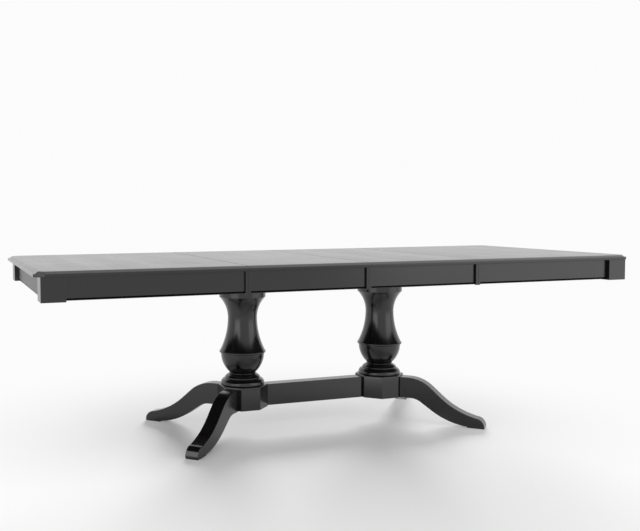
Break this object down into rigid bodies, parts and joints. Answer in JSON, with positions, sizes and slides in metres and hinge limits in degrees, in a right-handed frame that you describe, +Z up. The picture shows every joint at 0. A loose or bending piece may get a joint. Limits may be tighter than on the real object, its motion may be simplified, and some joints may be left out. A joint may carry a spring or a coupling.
{
  "type": "double pedestal dining table",
  "caption": "Rectangular extension dining table with drop-in leaves, on turned pedestals with S-curved legs and a low stretcher; its halves slide apart together.",
  "frame": {"origin": "on the floor, midway between the two pedestals", "axes": "+X along the table, towards the right in the picture; +Y across it, to the back; +Z up"},
  "size_m": [2.572, 1.067, 0.762],
  "materials": {
    "black_wood": "smooth black lacquer with a satin sheen",
    "slide_wood": "planed hardwood with a dark brown stain",
    "steel": "bright zinc",
    "pads": "matt black"
  },
  "bodies": {
    "base": {"left_column": "black_wood", "right_column": "black_wood", "left_hub": "black_wood", "right_hub": "black_wood", "front_left_leg": "black_wood", "back_left_leg": "black_wood", "front_right_leg": "black_wood", "back_right_leg": "black_wood", "stretcher": "black_wood", "foot_pads": "pads", "base_bolts": "steel", "tie_rods": "steel", "tie_rod_nuts": "steel", "column_plates": "black_wood", "left_bearer": "slide_wood", "right_bearer": "slide_wood", "front_slide_rail": "slide_wood", "back_slide_rail": "slide_wood", "rail_screws": "steel", "gear_beam": "slide_wood", "pinion_axle": "steel", "pinion_clip": "steel", "rack_guides": "slide_wood"},
    "pinion": {"pinion": "steel"},
    "left_half": {"left_top_panel": "black_wood", "left_front_apron": "black_wood", "left_back_apron": "black_wood", "left_end_apron": "black_wood", "left_front_post": "black_wood", "left_back_post": "black_wood", "left_seam_blocks": "black_wood", "left_runners": "slide_wood", "left_rack_brace": "slide_wood", "left_apron_cleats": "slide_wood", "left_locating_pegs": "slide_wood", "left_rack": "steel", "left_runner_screws": "steel"},
    "right_half": {"right_top_panel": "black_wood", "right_front_apron": "black_wood", "right_back_apron": "black_wood", "right_end_apron": "black_wood", "right_front_post": "black_wood", "right_back_post": "black_wood", "right_seam_blocks": "black_wood", "right_runners": "slide_wood", "right_rack_brace": "slide_wood", "right_apron_cleats": "slide_wood", "right_locating_pegs": "slide_wood", "right_rack": "steel", "right_runner_screws": "steel"},
    "left_leaf": {"left_leaf_panel": "black_wood", "left_leaf_front_apron": "black_wood", "left_leaf_back_apron": "black_wood", "left_leaf_seam_blocks": "black_wood", "left_leaf_cleats": "slide_wood"},
    "right_leaf": {"right_leaf_panel": "black_wood", "right_leaf_front_apron": "black_wood", "right_leaf_back_apron": "black_wood", "right_leaf_seam_blocks": "black_wood", "right_leaf_cleats": "slide_wood"}
  },
  "joints": [
    {"name": "left_slide", "type": "slide", "parent": "base", "child": "left_half", "axis": [-1, 0, 0], "range_m": [0, 0.09]},
    {"name": "right_slide", "type": "slide", "parent": "base", "child": "right_half", "axis": [1, 0, 0], "range_m": [0, 0.09]},
    {"name": "pinion_spin", "type": "hinge", "parent": "base", "child": "pinion", "pos_m": [0, 0, 0.7], "axis": [0, 0, 1], "range_deg": [-5, 170]},
    {"name": "left_leaf_lift", "type": "slide", "parent": "base", "child": "left_leaf", "axis": [0, 0, 1], "range_m": [0, 0.25]},
    {"name": "right_leaf_lift", "type": "slide", "parent": "base", "child": "right_leaf", "axis": [0, 0, 1], "range_m": [0, 0.25]}
  ],
  "couplings": [
    {"joint": "right_slide", "follows": "left_slide", "ratio": 1},
    {"joint": "pinion_spin", "follows": "left_slide", "rad_per_m": 31.25}
  ]
}
